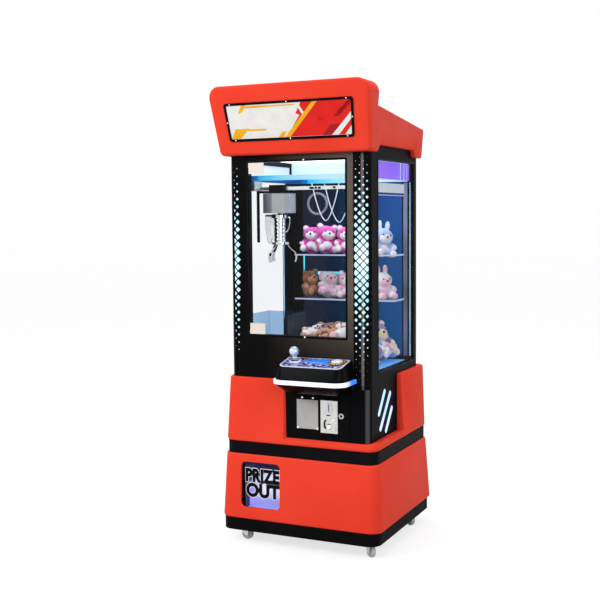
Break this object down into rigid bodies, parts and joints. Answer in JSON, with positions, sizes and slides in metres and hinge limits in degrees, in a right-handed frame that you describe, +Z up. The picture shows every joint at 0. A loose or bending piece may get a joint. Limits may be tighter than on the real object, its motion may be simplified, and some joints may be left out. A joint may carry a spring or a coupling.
{
  "type": "claw crane machine",
  "caption": "Upright claw crane amusement machine with a glazed tower, moulded cowls, lit corner posts, a joystick console and a prize door.",
  "frame": {"origin": "on the floor, under the middle of the machine", "axes": "+Z up, -Y towards the player, +X to the player's right"},
  "size_m": [0.7134, 0.7766, 1.877],
  "materials": {
    "red_shell": "moulded plastic, satin gloss",
    "black_steel": "black powder coat, satin",
    "black_plastic": "black moulded plastic, satin",
    "belt": "bare black band",
    "clear_glass": "clear toughened glass",
    "clear_acrylic": "clear acrylic sheet",
    "frosted_acrylic": "translucent flap",
    "white_board": "white laminated board",
    "led_lens": "white light diffuser",
    "marquee_art": "backlit panel with plain stripes",
    "screen": "blue display window",
    "panel_face": "silver panel with a plain pattern",
    "plain_steel": "brushed steel",
    "chrome_steel": "polished chrome",
    "grey_cover": "light grey satin",
    "patch_plate": "satin aluminium",
    "crystal_ball": "clear silver knob",
    "button_dome": "white dome",
    "caster_rubber": "pale grey tyre",
    "plush_pink": "short pile plush",
    "plush_brown": "short pile plush",
    "plush_mixed": "short pile plush, mixed colours"
  },
  "bodies": {
    "root": {"base_plinth": "black_steel", "lower_cowl": "red_shell", "upper_cowl": "red_shell", "belt_band": "belt", "lower_cabinet": "black_steel", "tower_frame": "black_steel", "left_corner_post": "black_steel", "right_corner_post": "black_steel", "left_side_glass": "clear_glass", "right_side_glass": "clear_glass", "playfield_deck": "white_board", "prize_chute": "plain_steel", "prize_box": "white_board", "chute_guard": "clear_acrylic", "shelf_upper": "clear_acrylic", "shelf_lower": "clear_acrylic", "shelf_post": "black_steel", "marquee_shell": "red_shell", "marquee_bezel": "black_steel", "marquee_panel": "marquee_art", "ceiling_light": "led_lens", "gantry_rails": "plain_steel", "console_body": "black_plastic", "console_panel": "panel_face", "console_light_strip": "led_lens", "display": "screen", "left_light_bars": "led_lens", "right_light_bars": "led_lens", "mains_inlet": "black_plastic", "plush_shelf_upper": "plush_pink", "plush_shelf_lower": "plush_brown", "plush_pile": "plush_mixed"},
    "front_door": {"front_door_glass": "clear_glass", "door_patch_top": "patch_plate", "door_patch_bottom": "patch_plate"},
    "rear_door": {"rear_door": "white_board"},
    "coin_door": {"coin_door": "black_steel", "blank_plate": "plain_steel", "coin_acceptor": "plain_steel"},
    "coin_return_button": {"coin_return_button": "chrome_steel"},
    "door_lock": {"door_lock": "chrome_steel"},
    "joystick_gimbal": {"joystick_gimbal": "plain_steel"},
    "joystick": {"joystick_stick": "crystal_ball"},
    "push_button": {"push_button": "button_dome"},
    "prize_flap": {"prize_flap": "frosted_acrylic"},
    "bridge": {"bridge_beam": "plain_steel"},
    "trolley": {"trolley": "black_steel", "hoist_cover": "grey_cover"},
    "claw": {"claw_core": "chrome_steel"},
    "claw_finger_1": {"claw_finger_1": "chrome_steel"},
    "claw_finger_2": {"claw_finger_2": "chrome_steel"},
    "claw_finger_3": {"claw_finger_3": "chrome_steel"},
    "caster_fork_front_left": {"caster_fork_front_left": "plain_steel"},
    "caster_wheel_front_left": {"caster_wheel_front_left": "caster_rubber"},
    "caster_fork_front_right": {"caster_fork_front_right": "plain_steel"},
    "caster_wheel_front_right": {"caster_wheel_front_right": "caster_rubber"},
    "caster_fork_rear_left": {"caster_fork_rear_left": "plain_steel"},
    "caster_wheel_rear_left": {"caster_wheel_rear_left": "caster_rubber"},
    "caster_fork_rear_right": {"caster_fork_rear_right": "plain_steel"},
    "caster_wheel_rear_right": {"caster_wheel_rear_right": "caster_rubber"}
  },
  "joints": [
    {"name": "front_door_hinge", "type": "hinge", "parent": "root", "child": "front_door", "pos_m": [-0.207, -0.243, 1.227], "axis": [0, 0, -1], "range_deg": [0, 100]},
    {"name": "rear_door_hinge", "type": "hinge", "parent": "root", "child": "rear_door", "pos_m": [-0.249, 0.3287, 1.151], "axis": [0, 0, 1], "range_deg": [0, 110]},
    {"name": "coin_door_hinge", "type": "hinge", "parent": "root", "child": "coin_door", "pos_m": [-0.029, -0.25, 0.564], "axis": [0, 0, -1], "range_deg": [0, 90]},
    {"name": "coin_return_press", "type": "slide", "parent": "coin_door", "child": "coin_return_button", "axis": [0, 1, 0], "range_m": [0, 0.003], "stiffness_N_per_m": 300, "springref_m": -0.003},
    {"name": "door_lock_turn", "type": "hinge", "parent": "coin_door", "child": "door_lock", "pos_m": [0.1915, -0.25, 0.565], "axis": [0, -1, 0], "range_deg": [0, 90]},
    {"name": "joystick_side", "type": "hinge", "parent": "root", "child": "joystick_gimbal", "pos_m": [0.01, -0.28574, 0.75107], "axis": [0, 0.9781, 0.2084], "range_deg": [-12, 12], "stiffness_Nm_per_rad": 1.2},
    {"name": "joystick_fore", "type": "hinge", "parent": "joystick_gimbal", "child": "joystick", "pos_m": [0.01, -0.28574, 0.75107], "axis": [1, 0, 0], "range_deg": [-12, 12], "stiffness_Nm_per_rad": 1.2},
    {"name": "push_button_press", "type": "slide", "parent": "root", "child": "push_button", "axis": [0, 0.2084, -0.9781], "range_m": [0, 0.004], "stiffness_N_per_m": 400, "springref_m": -0.006},
    {"name": "prize_flap_swing", "type": "hinge", "parent": "root", "child": "prize_flap", "pos_m": [-0.167, -0.243, 0.336], "axis": [1, 0, 0], "range_deg": [0, 70]},
    {"name": "bridge_travel", "type": "slide", "parent": "root", "child": "bridge", "axis": [0, 1, 0], "range_m": [0, 0.135]},
    {"name": "trolley_travel", "type": "slide", "parent": "bridge", "child": "trolley", "axis": [1, 0, 0], "range_m": [0, 0.343]},
    {"name": "claw_drop", "type": "slide", "parent": "trolley", "child": "claw", "axis": [0, 0, -1], "range_m": [0, 0.24]},
    {"name": "claw_finger_1_hinge", "type": "hinge", "parent": "claw", "child": "claw_finger_1", "pos_m": [-0.11793, -0.08905, 1.247], "axis": [-0.342, 0.9397, 0], "range_deg": [0, 38], "stiffness_Nm_per_rad": 0.05, "springref_deg": -28.65},
    {"name": "claw_finger_2_hinge", "type": "hinge", "parent": "claw", "child": "claw_finger_2", "pos_m": [-0.17251, -0.07943, 1.247], "axis": [-0.6428, -0.766, 0], "range_deg": [0, 38], "stiffness_Nm_per_rad": 0.05, "springref_deg": -28.65},
    {"name": "claw_finger_3_hinge", "type": "hinge", "parent": "claw", "child": "claw_finger_3", "pos_m": [-0.15356, -0.13151, 1.247], "axis": [0.9848, -0.1736, 0], "range_deg": [0, 38], "stiffness_Nm_per_rad": 0.05, "springref_deg": -28.65},
    {"name": "caster_front_left_swivel", "type": "hinge", "parent": "root", "child": "caster_fork_front_left", "pos_m": [-0.285, -0.205, 0.0615], "axis": [0, 0, 1], "continuous": true},
    {"name": "caster_front_left_roll", "type": "hinge", "parent": "caster_fork_front_left", "child": "caster_wheel_front_left", "pos_m": [-0.2591, -0.20727, 0.025], "axis": [-0.0872, -0.9962, 0], "continuous": true},
    {"name": "caster_front_right_swivel", "type": "hinge", "parent": "root", "child": "caster_fork_front_right", "pos_m": [0.285, -0.205, 0.0615], "axis": [0, 0, 1], "continuous": true},
    {"name": "caster_front_right_roll", "type": "hinge", "parent": "caster_fork_front_right", "child": "caster_wheel_front_right", "pos_m": [0.30492, -0.22171, 0.025], "axis": [-0.6428, -0.766, 0], "continuous": true},
    {"name": "caster_rear_left_swivel", "type": "hinge", "parent": "root", "child": "caster_fork_rear_left", "pos_m": [-0.285, 0.265, 0.0615], "axis": [0, 0, 1], "continuous": true},
    {"name": "caster_rear_left_roll", "type": "hinge", "parent": "caster_fork_rear_left", "child": "caster_wheel_rear_left", "pos_m": [-0.26057, 0.25611, 0.025], "axis": [-0.342, -0.9397, 0], "continuous": true},
    {"name": "caster_rear_right_swivel", "type": "hinge", "parent": "root", "child": "caster_fork_rear_right", "pos_m": [0.285, 0.265, 0.0615], "axis": [0, 0, 1], "continuous": true},
    {"name": "caster_rear_right_roll", "type": "hinge", "parent": "caster_fork_rear_right", "child": "caster_wheel_rear_right", "pos_m": [0.3063, 0.25009, 0.025], "axis": [-0.5736, -0.8192, 0], "continuous": true}
  ],
  "couplings": [
    {"joint": "claw_finger_2_hinge", "follows": "claw_finger_1_hinge", "ratio": 1},
    {"joint": "claw_finger_3_hinge", "follows": "claw_finger_1_hinge", "ratio": 1}
  ]
}
